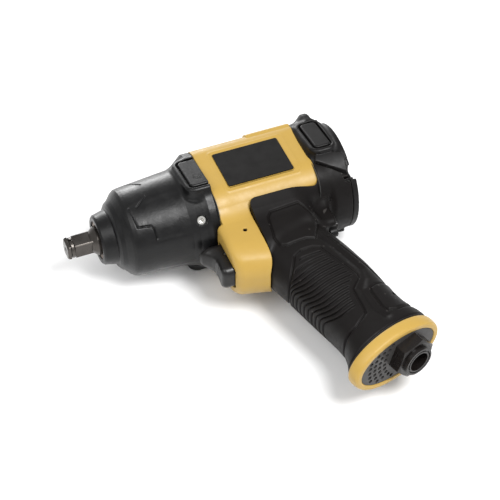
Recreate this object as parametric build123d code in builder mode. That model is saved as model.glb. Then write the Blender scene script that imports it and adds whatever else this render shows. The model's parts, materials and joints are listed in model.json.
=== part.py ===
from build123d import *
from math import copysign, cos, hypot, pi, radians, sin
import os

# Air impact wrench with a 3/8 in. square drive and a pistol grip, in millimetres.
#
# Frame: the tool lies on its right side.  X runs rearward along the spindle, Y points to the top of the
# barrel, so the handle reaches toward -Y, and Z points to the tool's left side.  The origin is the centre
# of the square drive's tip.

# ---------------------------------------------------------------- driving dimensions
# Square drive and anvil
drive_across_flats = 9.53
drive_length = 14.2
ring_groove_start = 2.0
ring_groove_end = 4.6
ring_groove_radius = 4.55
journal_start = 17.5
journal_radius = 8.4
shank_radius = 6.6
running_gap = 0.05
press_allowance = 0.02

# Hammer case, from its nose ring to the flange on the motor housing
nose_start = 18.7
nose_radius = 14.1
nose_rear_radius = 15.8
cone_start = 26.8
cone_end = 34.3
cone_radius = 25.0
barrel_front_radius = 25.2
barrel_rear_start = 68.0
barrel_rear_radius = 27.8
case_end = 82.2
flange_start = 77.5
flange_radius = 31.6
flange_runout = 6.5
flange_taper = 33.0
case_cavity_radius = 22.3
bushing_radius = 11.0
gasket_thickness = 0.4

# Motor housing: a square bar round the motor, tighter at its upper corners, and the handle below it
housing_front = case_end + gasket_thickness
housing_rear = 143.0
housing_half = 28.0
housing_upper_corner = 12.2
housing_lower_corner = 18.5
motor_bore_radius = 25.0
fit_gap = 0.05

# Rear cover
cover_front = housing_rear + gasket_thickness
cover_rear = 165.0
cover_radius = 32.0

# Four long bolts near the diagonals join the case, the housing and the rear cover
upper_bolt = 21.2
lower_bolt = 19.7
bolt_radius = 2.0
bolt_hole_radius = 2.15
bolt_head_radius = 3.4
bolt_head_height = 4.8
bolt_thread = 6.0
ear_radius = 8.5
ear_end = 157.0

# Flat pads on both flanks of the hammer case and the rear cover
pad_angle = 9.0
pad_half_width = 14.0
case_pad_face = 31.8
cover_pad_face = 32.2

# Handle: it leans rearward, and everything in it stands square to its own axis
handle_rake = 16.5
inlet_p = 100.4
handle_wall = 3.0
saddle_thickness = 1.2
saddle_edge = -24.2
overmold_front = 100.3
lip_line_x = 80.0
lip_bottom = -59.3
lip_slope = 14.0
lip_corner = 15.5
lip_half_width = 19.4
base_start = 167.0
base_centre = 94.0
base_half_length = 28.6
base_half_width = 18.0
base_end = 174.6

# Air motor
rotor_radius = 18.8
liner_bore_radius = 20.6
liner_offset = 1.6
liner_start = 94.6
liner_end = 139.0
dowel_offset = 22.0
dowel_radius = 1.25
rotor_end_gap = 0.2
shaft_radius = 6.0
vane_count = 6
vane_thickness = 2.0
vane_height = 9.2

# Ball bearings, 12 x 28 x 8
bearing_width = 8.0
bearing_outer_radius = 14.0
bearing_pitch_radius = 10.0
bearing_ball_radius = 2.3
bearing_ball_count = 8
race_clearance = 1.4
cage_inner_radius = 9.3
cage_outer_radius = 10.7
cage_width = 5.6
front_bearing_start = 83.6
rear_bearing_start = 142.0
front_plate_start = 83.0
rear_plate_end = 150.0
plate_web_bore = 7.0
plate_radius = motor_bore_radius - fit_gap

# Twin-hammer clutch
cage_start = 40.3
cage_plate = 3.0
hammer_length = 11.5
hammer_gap = 0.5
cage_radius = 21.8
cage_bar_inner_radius = 19.5
hammer_radius = 17.2
hammer_bore_radius = 10.2
hammer_pin_circle = 13.7
hammer_pin_radius = 2.2
hammer_tooth_radius = 7.4
tooth_half_width = 3.0
lug_radius = 9.0
hammer_rock = 8.0
lug_start = cage_start + cage_plate + hammer_gap
second_hammer_start = lug_start + hammer_length + hammer_gap
cage_rear_plate = second_hammer_start + hammer_length + hammer_gap
cage_rear_face = cage_rear_plate + 3.6
anvil_end = cage_rear_plate - 0.3
hub_end = 80.0
spline_start = 70.5
spline_radius = 5.8

# Trigger and throttle valve
trigger_y = -42.7
trigger_half_width = 7.5
trigger_rounding = 3.4
trigger_travel = 4.5
rod_start = 74.0
rod_radius = 2.0
roll_pin_x = 79.0
roll_pin_radius = 0.8
roll_pin_length = 13.0
seat_h = 90.0
seat_thickness = 3.0
valve_head_radius = 5.2
valve_head_height = 3.8
stem_radius = 1.5
stem_top_h = 70.5
stem_gap = 0.4

# Reverse valve, across the back of the handle under the motor
reverse_y = -38.0
reverse_radius = 4.5
reverse_start = 127.0
lever_start = 141.9
lever_thickness = 5.0
lever_tip_y = -45.5
lever_hub_radius = 5.4
lever_tip_radius = 3.1
lever_screw_radius = 1.5
lever_screw_depth = 5.0
screw_head_radius = 2.7
screw_head_height = 1.8

# ---------------------------------------------------------------- planes and axes
down = Vector(sin(radians(handle_rake)), -cos(radians(handle_rake)), 0)
handle = Plane(origin=(0, 0, 0), x_dir=down, z_dir=(0, 0, 1))
# On the handle plane, the first coordinate h runs down the handle and the second, p, runs rearward.
inlet_axis = Axis(handle.from_local_coords((0, inlet_p, 0)), down)


def across_handle(h, p):
    """Plane square to the handle at depth h, with its x rearward and its origin at p."""
    return Plane(origin=handle.from_local_coords((h, p, 0)), x_dir=handle.y_dir, z_dir=down)


# ---------------------------------------------------------------- helpers
def outline(*points, plane=Plane.XY):
    """Flat face bounded by straight edges through the points."""
    with BuildSketch(plane) as face:
        with BuildLine():
            Polyline(*points, close=True)
        make_face()
    return face.sketch


def band(start, end, inner, outer, plane=Plane.XY):
    """Half-section of a ring: revolved about the plane's x axis it spans start to end."""
    return outline((start, inner), (end, inner), (end, outer), (start, outer), plane=plane)


def inlet_band(start, end, inner, outer):
    """Half-section of a ring about the inlet's axis."""
    return band(start, end, inlet_p + inner, inlet_p + outer, plane=handle)


def bolt_spots():
    """The four bolts seen along X: two above the motor and two below it."""
    upper = [(upper_bolt, side * upper_bolt) for side in (-1, 1)]
    lower = [(-lower_bolt, side * lower_bolt) for side in (-1, 1)]
    return Locations(*upper, *lower)


def barrel_section(x, inset=0.0):
    """Outline of the motor housing at x, drawn in by the inset."""
    side = 2 * (housing_half - inset)
    with BuildSketch(Plane.YZ.offset(x)) as section:
        Rectangle(side, side)
        fillet(section.vertices().group_by(Axis.Y)[-1], radius=housing_upper_corner - inset)
        fillet(section.vertices().group_by(Axis.Y)[0], radius=housing_lower_corner - inset)
    return section.sketch


def barrel_form(inset=0.0, start=housing_front, end=housing_rear):
    """Bar of the motor housing."""
    with BuildPart() as form:
        extrude(barrel_section(start, inset), amount=end - start)
    return form.part


def flank_pad(side, start, end, face):
    """Flat pad on one flank, standing out to its face."""
    outward = Vector(0, sin(radians(pad_angle)), side * cos(radians(pad_angle)))
    depth = 6.0
    with BuildPart() as pad:
        with BuildSketch(Plane(origin=outward * (face - depth), x_dir=(1, 0, 0), z_dir=outward)):
            with Locations(((start + end) / 2, 0)):
                RectangleRounded(end - start, 2 * pad_half_width, 2.5)
        extrude(amount=depth)
    return pad.part


# Stations of the handle: depth h, front p, rear p, half width, fullness (2 is an ellipse)
grip_stations = [
    (40, 75.0, 124.0, 21.5, 3.0),
    (62, 75.5, 121.0, 19.0, 2.8),
    (84, 75.5, 120.2, 17.4, 2.6),
    (102, 75.6, 121.6, 17.0, 2.5),
    (118, 75.3, 121.6, 17.0, 2.5),
    (131, 75.2, 120.4, 17.0, 2.5),
    (145, 75.4, 118.2, 17.0, 2.5),
    (154, 74.2, 118.4, 17.2, 2.4),
    (162, 70.0, 122.0, 17.7, 2.2),
    (base_start, base_centre - base_half_length, base_centre + base_half_length, base_half_width, 2.0),
]
root_stations = [
    (38, 72.0, 126.0, 22.0, 3.2),
    (60, 67.0, 121.5, 20.0, 3.0),
    (76, 61.5, 120.5, 18.4, 2.8),
    (88.5, 58.2, 120.3, 17.8, 2.6),
]


def handle_form(stations, inset=0.0):
    """Loft of ovals through the stations, drawn in by the inset."""
    sections = []
    corner_count = 32
    for h, front, rear, half_width, fullness in stations:
        half_length = (rear - front) / 2 - inset
        rim = []
        for index in range(corner_count):
            angle = 2 * pi * index / corner_count
            along = abs(cos(angle)) ** (2 / fullness) * half_length
            across = abs(sin(angle)) ** (2 / fullness) * (half_width - inset)
            rim.append((copysign(along, cos(angle)), copysign(across, sin(angle))))
        with BuildSketch(across_handle(h, (front + rear) / 2)) as section:
            with BuildLine():
                Spline(*rim, periodic=True)
            make_face()
        sections.append(section.sketch)
    with BuildPart() as form:
        loft(sections)
    return form.part


# ---------------------------------------------------------------- drive end
with BuildPart() as anvil:
    with BuildSketch(Plane.YZ):
        Rectangle(drive_across_flats, drive_across_flats)
    extrude(amount=journal_start)
    # The square's corners are rounded off to the stock bar's diameter, and the tip is chamfered.
    revolve(
        outline((0, 5.6), (0.9, 6.3), (journal_start, 6.3), (journal_start, 9), (-1, 9), (-1, 5.6)),
        axis=Axis.X,
        mode=Mode.SUBTRACT,
    )
    revolve(band(ring_groove_start, ring_groove_end, ring_groove_radius, 9), axis=Axis.X, mode=Mode.SUBTRACT)
    # Flare, journal in the bushing and the shank that carries the lugs.
    revolve(
        outline(
            (drive_length, 0),
            (drive_length, 5.6),
            (journal_start - 1.2, 7.4),
            (journal_start, journal_radius),
            (cage_start - 0.4, journal_radius),
            (cage_start - 0.4, shank_radius),
            (anvil_end - 0.6, shank_radius),
            (anvil_end, shank_radius - 0.6),
            (anvil_end, 0),
        ),
        axis=Axis.X,
    )
    # A small blind hole in the tip.
    with Locations(Plane.YZ):
        Hole(radius=1.2, depth=2.5)
    # One lug for each hammer, the second turned half round.
    for index in range(2):
        side = 1 - 2 * index
        with BuildSketch(Plane.YZ.offset(lug_start + index * (hammer_length + hammer_gap))):
            Circle(lug_radius)
            with Locations((side * lug_radius / 2, side * -(tooth_half_width + 0.2 + lug_radius / 2))):
                Rectangle(lug_radius, lug_radius, mode=Mode.INTERSECT)
        extrude(amount=hammer_length)

with BuildPart() as friction_ring:
    revolve(band(2.35, 4.25, 5.1, 5.95), axis=Axis.X)
    with BuildSketch(Plane.YZ.offset(2.0)):
        with Locations((0, 5.5)):
            Rectangle(1.2, 3)
    extrude(amount=3, mode=Mode.SUBTRACT)
    fillet(friction_ring.edges().filter_by(GeomType.CIRCLE).group_by(SortBy.RADIUS)[-1], radius=0.4)

with BuildPart() as ring_o_ring:
    with BuildSketch(Plane.XY):
        with Locations(((ring_groove_start + ring_groove_end) / 2, ring_groove_radius + 0.27)):
            Circle(0.25)
    revolve(axis=Axis.X)

with BuildPart() as anvil_bushing:
    revolve(
        outline(
            (nose_start + 0.9, journal_radius + running_gap),
            (nose_start + 0.5, journal_radius + 0.5),
            (nose_start + 0.5, bushing_radius),
            (cage_start - 0.8, bushing_radius),
            (cage_start - 0.8, journal_radius + running_gap),
        ),
        axis=Axis.X,
    )

# ---------------------------------------------------------------- hammer case
# The set screw stands in the case's lower left flank, just ahead of the flange.
screw_angle = -53.0
screw_radius = 2.4
screw_length = 6.0
screw_plane = Plane(
    origin=(73.0, 0, 0),
    x_dir=(1, 0, 0),
    z_dir=(0, sin(radians(screw_angle)), cos(radians(screw_angle))),
)

with BuildPart() as hammer_case:
    with BuildSketch(Plane.XY):
        with BuildLine():
            ring_top = Line((nose_start + 0.8, nose_radius), (cone_start - 2.0, nose_rear_radius - 0.4))
            Line((nose_start, nose_radius - 0.8), ring_top @ 0)
            fillet_arc = ThreePointArc(ring_top @ 1, (cone_start, 17.6), (cone_start + 3.2, 20.2))
            shoulder = ThreePointArc((cone_end - 1.6, cone_radius - 1.5), (cone_end, cone_radius - 0.4),
                                     (cone_end + 2.4, barrel_front_radius))
            Line(fillet_arc @ 1, shoulder @ 0)
            side = Line(shoulder @ 1, (barrel_rear_start, barrel_rear_radius))
            flare = Spline(side @ 1, (73.0, 29.5), (flange_start, flange_radius),
                           tangents=[(1, 0.08), (1, 0.2)])
            Line(flare @ 1, (case_end, flange_radius))
            Line((case_end, flange_radius), (case_end, case_cavity_radius))
            Line((case_end, case_cavity_radius), (cage_start - 0.6, case_cavity_radius))
            Line((cage_start - 0.6, case_cavity_radius), (cage_start - 0.6, bushing_radius))
            Line((cage_start - 0.6, bushing_radius), (nose_start, bushing_radius))
            Line((nose_start, bushing_radius), (nose_start, nose_radius - 0.8))
        make_face()
    revolve(axis=Axis.X)
    # The flange takes the housing's outline, and runs out into the barrel.
    extrude(barrel_section(case_end), amount=flange_start - case_end)
    extrude(barrel_section(flange_start), amount=-flange_runout, taper=flange_taper)
    for side in (-1, 1):
        add(flank_pad(side, flange_start - 3.0, case_end, case_pad_face))
    # Blind threads for the bolts.
    with BuildSketch(Plane.YZ.offset(case_end)):
        with bolt_spots():
            Circle(bolt_radius + press_allowance)
    extrude(amount=-bolt_thread - 0.4, mode=Mode.SUBTRACT)
    # The cavity is cut again through the flange, and the seat of the set screw through the flank.
    revolve(band(cage_start - 0.6, case_end, 0, case_cavity_radius), axis=Axis.X, mode=Mode.SUBTRACT)
    with BuildSketch(screw_plane.offset(case_cavity_radius - 1)):
        Circle(screw_radius)
    extrude(amount=16, mode=Mode.SUBTRACT)

with BuildPart() as case_set_screw:
    with BuildSketch(screw_plane.offset(case_cavity_radius + 0.6)):
        Circle(screw_radius - fit_gap)
    extrude(amount=screw_length)
    with BuildSketch(screw_plane.offset(case_cavity_radius + 0.6 + screw_length)):
        RegularPolygon(radius=1.45, side_count=6)
    extrude(amount=-2.6, mode=Mode.SUBTRACT)

with BuildPart() as hammer_case_gasket:
    extrude(barrel_section(case_end, 0.4), amount=gasket_thickness)
    with BuildSketch(Plane.YZ.offset(case_end)):
        Circle(motor_bore_radius)
        with bolt_spots():
            Circle(bolt_hole_radius)
    extrude(amount=gasket_thickness, mode=Mode.SUBTRACT)

# ---------------------------------------------------------------- clutch
with BuildPart() as hammer_cage:
    revolve(band(cage_start, cage_start + cage_plate, shank_radius + 0.5, cage_radius), axis=Axis.X)
    revolve(band(cage_rear_plate, cage_rear_face, 0, cage_radius), axis=Axis.X)
    revolve(band(cage_rear_face, hub_end, 0, 11.0), axis=Axis.X)
    # Two bars join the plates outside the hammers' reach.
    with BuildSketch(Plane.YZ.offset(cage_start)):
        Circle(cage_radius)
        Circle(cage_bar_inner_radius, mode=Mode.SUBTRACT)
        Rectangle(2 * cage_radius, 22, mode=Mode.INTERSECT)
    extrude(amount=cage_rear_face - cage_start)
    with BuildSketch(Plane.YZ.offset(cage_start)):
        with Locations((0, hammer_pin_circle), (0, -hammer_pin_circle)):
            Circle(hammer_pin_radius)
    extrude(amount=cage_rear_face - cage_start, mode=Mode.SUBTRACT)
    # Drive socket for the rotor's hexagonal nose.
    with BuildSketch(Plane.YZ.offset(spline_start)):
        RegularPolygon(radius=spline_radius, side_count=6)
    extrude(amount=hub_end - spline_start, mode=Mode.SUBTRACT)

with BuildPart() as hammer_pins:
    with BuildSketch(Plane.YZ.offset(cage_start)):
        with Locations((0, hammer_pin_circle), (0, -hammer_pin_circle)):
            Circle(hammer_pin_radius - press_allowance)
    extrude(amount=cage_rear_face - cage_start)


def hammer_part(start, side):
    """Ring hammer with one tooth; it pivots on the pin at side * +Z and has a slot for the other pin."""
    slot_half_angle = hammer_rock / 2 + 1.0
    pin_hole = hammer_pin_radius + running_gap
    slot_hole = hammer_pin_radius + 0.3
    with BuildPart() as hammer:
        with BuildSketch(Plane.YZ.offset(start)):
            Circle(hammer_radius)
            Circle(hammer_bore_radius, mode=Mode.SUBTRACT)
            with Locations((side * (hammer_tooth_radius + 2.4), 0)):
                Rectangle(4.8, 2 * tooth_half_width)
            with Locations((0, side * hammer_pin_circle)):
                Circle(pin_hole, mode=Mode.SUBTRACT)
            # Seen from the hammer, the other pin swings on an arc about the pivot pin.
            pivot = Vector(0, side * hammer_pin_circle)
            reach = Vector(0, -2 * side * hammer_pin_circle)
            for step in range(9):
                swing = 1.0 - step * (2 * slot_half_angle) / 8
                spot = pivot + reach.rotate(Axis.Z, swing)
                with Locations(spot):
                    Circle(slot_hole, mode=Mode.SUBTRACT)
        extrude(amount=hammer_length)
    return hammer.part


with BuildPart() as front_hammer:
    add(hammer_part(lug_start, 1))

with BuildPart() as rear_hammer:
    add(hammer_part(second_hammer_start, -1))

# ---------------------------------------------------------------- air motor
rotor_start = liner_start + rotor_end_gap
rotor_end = liner_end - rotor_end_gap
slot_floor = rotor_radius - vane_height - 0.1

with BuildPart() as rotor:
    revolve(band(rotor_start, rotor_end, 0, rotor_radius), axis=Axis.X)
    revolve(band(hub_end, rear_plate_end + 0.6, 0, shaft_radius), axis=Axis.X)
    with BuildSketch(Plane.YZ.offset(spline_start)):
        RegularPolygon(radius=spline_radius, side_count=6)
    extrude(amount=hub_end - spline_start)
    with BuildSketch(Plane.YZ.offset(rotor_start)):
        with PolarLocations((slot_floor + rotor_radius + 1) / 2, vane_count):
            Rectangle(rotor_radius + 1 - slot_floor, vane_thickness + 0.1)
    extrude(amount=rotor_end - rotor_start, mode=Mode.SUBTRACT)

with BuildPart() as rotor_vanes:
    with BuildSketch(Plane.YZ.offset(rotor_start)):
        with PolarLocations(slot_floor + 0.05 + vane_height / 2, vane_count):
            Rectangle(vane_height, vane_thickness)
    extrude(amount=rotor_end - rotor_start)

with BuildPart() as cylinder_liner:
    with BuildSketch(Plane.YZ.offset(liner_start)):
        Circle(plate_radius)
        with Locations((-liner_offset, 0)):
            Circle(liner_bore_radius, mode=Mode.SUBTRACT)
        with Locations((dowel_offset, 0)):
            Circle(dowel_radius, mode=Mode.SUBTRACT)
    extrude(amount=liner_end - liner_start)
    # Two rows of ports through the thin wall, toward the handle.
    for angle in (-18, 18):
        port_plane = Plane(origin=(0, 0, 0), x_dir=(1, 0, 0),
                           z_dir=(0, -cos(radians(angle)), sin(radians(angle))))
        with BuildSketch(port_plane):
            with Locations(((liner_start + liner_end) / 2, 0)):
                with GridLocations(8, 1, 4, 1):
                    Circle(2.0)
        extrude(amount=30, mode=Mode.SUBTRACT)

with BuildPart() as liner_dowel:
    with BuildSketch(Plane.YZ.offset(front_plate_start + 2)):
        with Locations((dowel_offset, 0)):
            Circle(dowel_radius)
    extrude(amount=rear_plate_end - front_plate_start - 4)

with BuildPart() as front_end_plate:
    revolve(band(front_plate_start, liner_start, plate_web_bore, plate_radius), axis=Axis.X)
    revolve(
        band(front_plate_start, front_bearing_start + bearing_width, 0, bearing_outer_radius),
        axis=Axis.X,
        mode=Mode.SUBTRACT,
    )
    with BuildSketch(Plane.YZ.offset(front_plate_start + 2)):
        with Locations((dowel_offset, 0)):
            Circle(dowel_radius)
    extrude(amount=20, mode=Mode.SUBTRACT)

with BuildPart() as rear_end_plate:
    revolve(band(liner_end, rear_plate_end, plate_web_bore, plate_radius), axis=Axis.X)
    revolve(
        band(rear_bearing_start, rear_plate_end, 0, bearing_outer_radius),
        axis=Axis.X,
        mode=Mode.SUBTRACT,
    )
    with BuildSketch(Plane.YZ.offset(liner_end)):
        with Locations((dowel_offset, 0)):
            Circle(dowel_radius)
    extrude(amount=rear_plate_end - 2 - liner_end, mode=Mode.SUBTRACT)


def race(start, inner, outer):
    """Ring of a ball bearing with its groove."""
    middle = start + bearing_width / 2
    with BuildPart() as ring:
        revolve(band(start, start + bearing_width, inner, outer), axis=Axis.X)
        with BuildSketch(Plane.XY) as groove:
            with Locations((middle, bearing_pitch_radius)):
                Circle(bearing_ball_radius + 0.1)
        revolve(axis=Axis.X, mode=Mode.SUBTRACT)
    return ring.part


def bearing_balls(start):
    """The balls of one bearing, evenly spaced."""
    middle = Plane.YZ.offset(start + bearing_width / 2)
    with BuildPart(middle) as balls:
        with PolarLocations(bearing_pitch_radius, bearing_ball_count):
            Sphere(bearing_ball_radius)
    return balls.part


def bearing_cage(start):
    """Thin ring between the races, with a pocket for each ball."""
    middle = Plane.YZ.offset(start + bearing_width / 2)
    with BuildPart(middle) as cage:
        Cylinder(radius=cage_outer_radius, height=cage_width)
        Cylinder(radius=cage_inner_radius, height=cage_width, mode=Mode.SUBTRACT)
        with PolarLocations(bearing_pitch_radius, bearing_ball_count):
            Cylinder(radius=bearing_ball_radius + 0.05, height=4, rotation=(0, 90, 0), mode=Mode.SUBTRACT)
    return cage.part


# ---------------------------------------------------------------- housing and handle
spindle_bar = barrel_form()
inner_bar = barrel_form(saddle_thickness)
grip_form = handle_form(grip_stations)
core_form = handle_form(grip_stations, handle_wall)
root_form = handle_form(root_stations)

# The yellow part of the handle ends below the trigger in a lip with a rounded underside.
lip_direction = Vector(cos(radians(lip_slope)), -sin(radians(lip_slope)), 0)
lip_plane = Plane(origin=(lip_line_x, lip_bottom, 0), x_dir=(0, 0, 1), z_dir=lip_direction)
lip_height = 80.0
lip_ahead = 30.0
lip_behind = 60.0

with BuildPart() as lip_zone:
    with BuildSketch(lip_plane.offset(-lip_ahead)):
        with Locations((0, -lip_height / 2)):
            RectangleRounded(2 * lip_half_width, lip_height, lip_corner)
    extrude(amount=lip_ahead + lip_behind)

# Side views of the overmold's share of the handle: all of it behind the seam, and the grip ahead of it.
zone_half_width = 40.0
zone_front = 30.0
zone_rear = 200.0
zone_corner_y = -150.0
zone_bottom = -230.0
lower_zone_top = -50.0

with BuildPart() as rear_zone:
    with BuildSketch(Plane.XY.offset(-zone_half_width)):
        with BuildLine():
            Polyline(
                (overmold_front, saddle_edge),
                (housing_rear, saddle_edge),
                (zone_rear, zone_corner_y),
                (zone_rear, zone_bottom),
                (overmold_front, zone_bottom),
                close=True,
            )
        make_face()
    extrude(amount=2 * zone_half_width)

with BuildPart() as lower_zone:
    with BuildSketch(Plane.XY.offset(-zone_half_width)):
        with BuildLine():
            Polyline(
                (overmold_front + 1, lower_zone_top),
                (overmold_front + 1, zone_bottom),
                (zone_front, zone_bottom),
                (zone_front, lower_zone_top),
                close=True,
            )
        make_face()
    extrude(amount=2 * zone_half_width)

with BuildPart() as lower_grip:
    add(grip_form)
    add(lower_zone.part, mode=Mode.INTERSECT)

with BuildPart() as yellow_root:
    add(root_form)
    add(lip_zone.part, mode=Mode.INTERSECT)
    add(rear_zone.part, mode=Mode.SUBTRACT)

bushing_start = 90.0
bushing_end = 98.0
bushing_outer = 4.0
bushing_pin_x = 92.7
bushing_pin_y = trigger_y + 3.7
bushing_pin_radius = 1.2
sleeve_start = 150.0
sleeve_radius = 9.2
valve_chamber_radius = 7.5
seat_outer_radius = 8.5
exhaust_top_h = 50.0
exhaust_p = 87.5
exhaust_side = 8.25
pocket_start = 60.0
pocket_rear = 90.0
trigger_top = -32.8
trigger_bottom = -56.8
pocket_gap = 0.35
detent_x = 129.5
detent_ball_radius = 1.3
detent_groove_radius = 3.9
detent_hole_radius = 1.4
detent_hole_depth = 12.8

with BuildPart() as handle_hollows:
    # Air path up the handle: bore for the inlet bushing, valve chamber and the chamber above the seat.
    revolve(inlet_band(sleeve_start, base_start + 1, 0, sleeve_radius), axis=inlet_axis)
    revolve(inlet_band(seat_h, sleeve_start, 0, seat_outer_radius), axis=inlet_axis)
    revolve(inlet_band(stem_top_h - 4, seat_h, 0, valve_chamber_radius), axis=inlet_axis)
    # Exhaust passages either side, from the motor down to the base.
    for side in (-1, 1):
        with BuildSketch(across_handle(exhaust_top_h, 0)):
            with Locations((exhaust_p, side * exhaust_side)):
                RectangleRounded(7, 5.5, 1.5)
        extrude(amount=base_start + 1 - exhaust_top_h)
    # Pocket for the trigger, with its bushing, the rod's way and the cross pin.
    with BuildSketch(Plane.YZ.offset(pocket_start)):
        with Locations(((trigger_top + trigger_bottom) / 2, 0)):
            RectangleRounded(trigger_top - trigger_bottom + 2 * pocket_gap,
                             2 * (trigger_half_width + pocket_gap), 3)
    extrude(amount=pocket_rear - pocket_start)
    with BuildSketch(Plane.YZ.offset(pocket_rear - 1)):
        with Locations((trigger_y, 0)):
            Circle(bushing_outer)
    extrude(amount=bushing_end - pocket_rear + 1)
    with BuildSketch(Plane.YZ.offset(bushing_end - 1)):
        with Locations((trigger_y, 0)):
            Circle(rod_radius + 0.4)
    extrude(amount=15)
    with BuildSketch(Plane.XY.offset(-25)):
        with Locations((bushing_pin_x, bushing_pin_y)):
            Circle(bushing_pin_radius)
    extrude(amount=50)
    # Bore of the reverse valve, its port to the motor and the detent's hole.
    with BuildSketch(Plane.YZ.offset(reverse_start - 5)):
        with Locations((reverse_y, 0)):
            Circle(reverse_radius + running_gap)
    extrude(amount=30)
    with BuildSketch(Plane.XZ.offset(24)):
        with Locations((reverse_start + 9.5, 0)):
            Circle(2.2)
    extrude(amount=-reverse_y - 24)
    with BuildSketch(Plane.XY):
        with Locations((detent_x, reverse_y)):
            Circle(detent_hole_radius)
    extrude(amount=detent_hole_depth)

with BuildPart() as bolt_way:
    with BuildSketch(Plane.YZ.offset(housing_front - 2)):
        with bolt_spots():
            Circle(bolt_hole_radius)
    extrude(amount=housing_rear - housing_front + 4)

with BuildPart() as motor_bore:
    revolve(band(housing_front - 8, housing_rear + 1, 0, motor_bore_radius), axis=Axis.X)
    # Room for the hammer case ahead of the housing.
    revolve(band(60, housing_front, 0, flange_radius + 0.6), axis=Axis.X)
    extrude(barrel_section(housing_front, -0.3), amount=-12)

label_length = 39.3
label_height = 27.2
label_centre = (112.65, -0.4)

with BuildPart() as motor_housing:
    add(spindle_bar)
    add(rear_zone.part, mode=Mode.SUBTRACT)
    add(yellow_root.part)
    add(inner_bar)
    add(core_form)
    # Raised border round the name plate.
    with BuildSketch(Plane.XY.offset(housing_half - 1)):
        with Locations(label_centre):
            RectangleRounded(label_length + 2.4, label_height + 2.4, 2.2)
            RectangleRounded(label_length + 0.2, label_height + 0.2, 1.2, mode=Mode.SUBTRACT)
    extrude(amount=1.6)
    add(motor_bore.part, mode=Mode.SUBTRACT)
    add(handle_hollows.part, mode=Mode.SUBTRACT)
    add(bolt_way.part, mode=Mode.SUBTRACT)

with BuildPart() as grip_overmold:
    add(spindle_bar)
    add(grip_form)
    add(root_form)
    add(rear_zone.part, mode=Mode.INTERSECT)
    add(lower_grip.part)
    add(yellow_root.part, mode=Mode.SUBTRACT)
    add(inner_bar, mode=Mode.SUBTRACT)
    add(core_form, mode=Mode.SUBTRACT)
    add(motor_bore.part, mode=Mode.SUBTRACT)
    with BuildSketch(Plane.YZ.offset(reverse_start)):
        with Locations((reverse_y, 0)):
            Circle(reverse_radius + 0.3)
    extrude(amount=25, mode=Mode.SUBTRACT)
    with BuildSketch(Plane.XY):
        with Locations((detent_x, reverse_y)):
            Circle(detent_hole_radius)
    extrude(amount=detent_hole_depth, mode=Mode.SUBTRACT)

with BuildPart() as name_plate:
    with BuildSketch(Plane.XY.offset(housing_half)):
        with Locations(label_centre):
            RectangleRounded(label_length, label_height, 1.1)
    extrude(amount=0.5)

# ---------------------------------------------------------------- rear cover
cover_floor = 161.5
shoulder_end = 161.0

with BuildPart() as rear_cover:
    with BuildSketch(Plane.XY):
        with BuildLine():
            Polyline(
                (cover_front, 0), (cover_front, cover_radius - 0.6), (cover_front + 1, cover_radius),
                (162.0, cover_radius), (162.0, cover_radius - 0.5), (162.6, cover_radius - 0.5),
                (162.6, cover_radius), (cover_rear - 1.4, cover_radius), (cover_rear, cover_radius - 1.4),
                (cover_rear, 24.5), (cover_rear - 1.2, 22.5), (cover_rear - 1.2, 0),
                close=True,
            )
        make_face()
    revolve(axis=Axis.X)
    # Shoulders with the housing's outline, the ears of the upper bolts and the pads on the flanks.
    extrude(barrel_section(cover_front), amount=shoulder_end - cover_front)
    with BuildSketch(Plane.YZ.offset(ear_end)):
        with Locations((upper_bolt, upper_bolt), (upper_bolt, -upper_bolt)):
            Circle(ear_radius)
    extrude(amount=-6.0)
    with BuildSketch(Plane.YZ.offset(ear_end - 6.0)):
        with Locations((upper_bolt, upper_bolt), (upper_bolt, -upper_bolt)):
            Circle(ear_radius)
    extrude(amount=-6.0, taper=30)
    for side in (-1, 1):
        add(flank_pad(side, ear_end - 9.0, ear_end, cover_pad_face))
    revolve(band(cover_front, rear_plate_end, 0, motor_bore_radius), axis=Axis.X, mode=Mode.SUBTRACT)
    revolve(band(rear_plate_end, cover_floor, 0, 19.0), axis=Axis.X, mode=Mode.SUBTRACT)
    with BuildSketch(Plane.YZ.offset(cover_front)):
        with bolt_spots():
            Circle(bolt_hole_radius)
    extrude(amount=ear_end - cover_front, mode=Mode.SUBTRACT)
    # Counterbores for the bolt heads, open to the rear.
    with BuildSketch(Plane.YZ.offset(ear_end)):
        with bolt_spots():
            Circle(bolt_head_radius + 0.3)
    extrude(amount=20, mode=Mode.SUBTRACT)

with BuildPart() as rear_gasket:
    extrude(barrel_section(housing_rear, 0.4), amount=gasket_thickness)
    with BuildSketch(Plane.YZ.offset(housing_rear)):
        Circle(motor_bore_radius)
        with bolt_spots():
            Circle(bolt_hole_radius)
    extrude(amount=gasket_thickness, mode=Mode.SUBTRACT)

with BuildPart() as housing_bolts:
    with BuildSketch(Plane.YZ.offset(case_end - bolt_thread)):
        with bolt_spots():
            Circle(bolt_radius)
    extrude(amount=ear_end - case_end + bolt_thread)
    with BuildSketch(Plane.YZ.offset(ear_end)):
        with bolt_spots():
            Circle(bolt_head_radius)
    extrude(amount=bolt_head_height)
    with BuildSketch(Plane.YZ.offset(ear_end + bolt_head_height)):
        with bolt_spots():
            RegularPolygon(radius=1.75, side_count=6)
    extrude(amount=-2.2, mode=Mode.SUBTRACT)

# ---------------------------------------------------------------- trigger and valve
trigger_rear = pocket_rear - trigger_travel - 0.5

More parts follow.
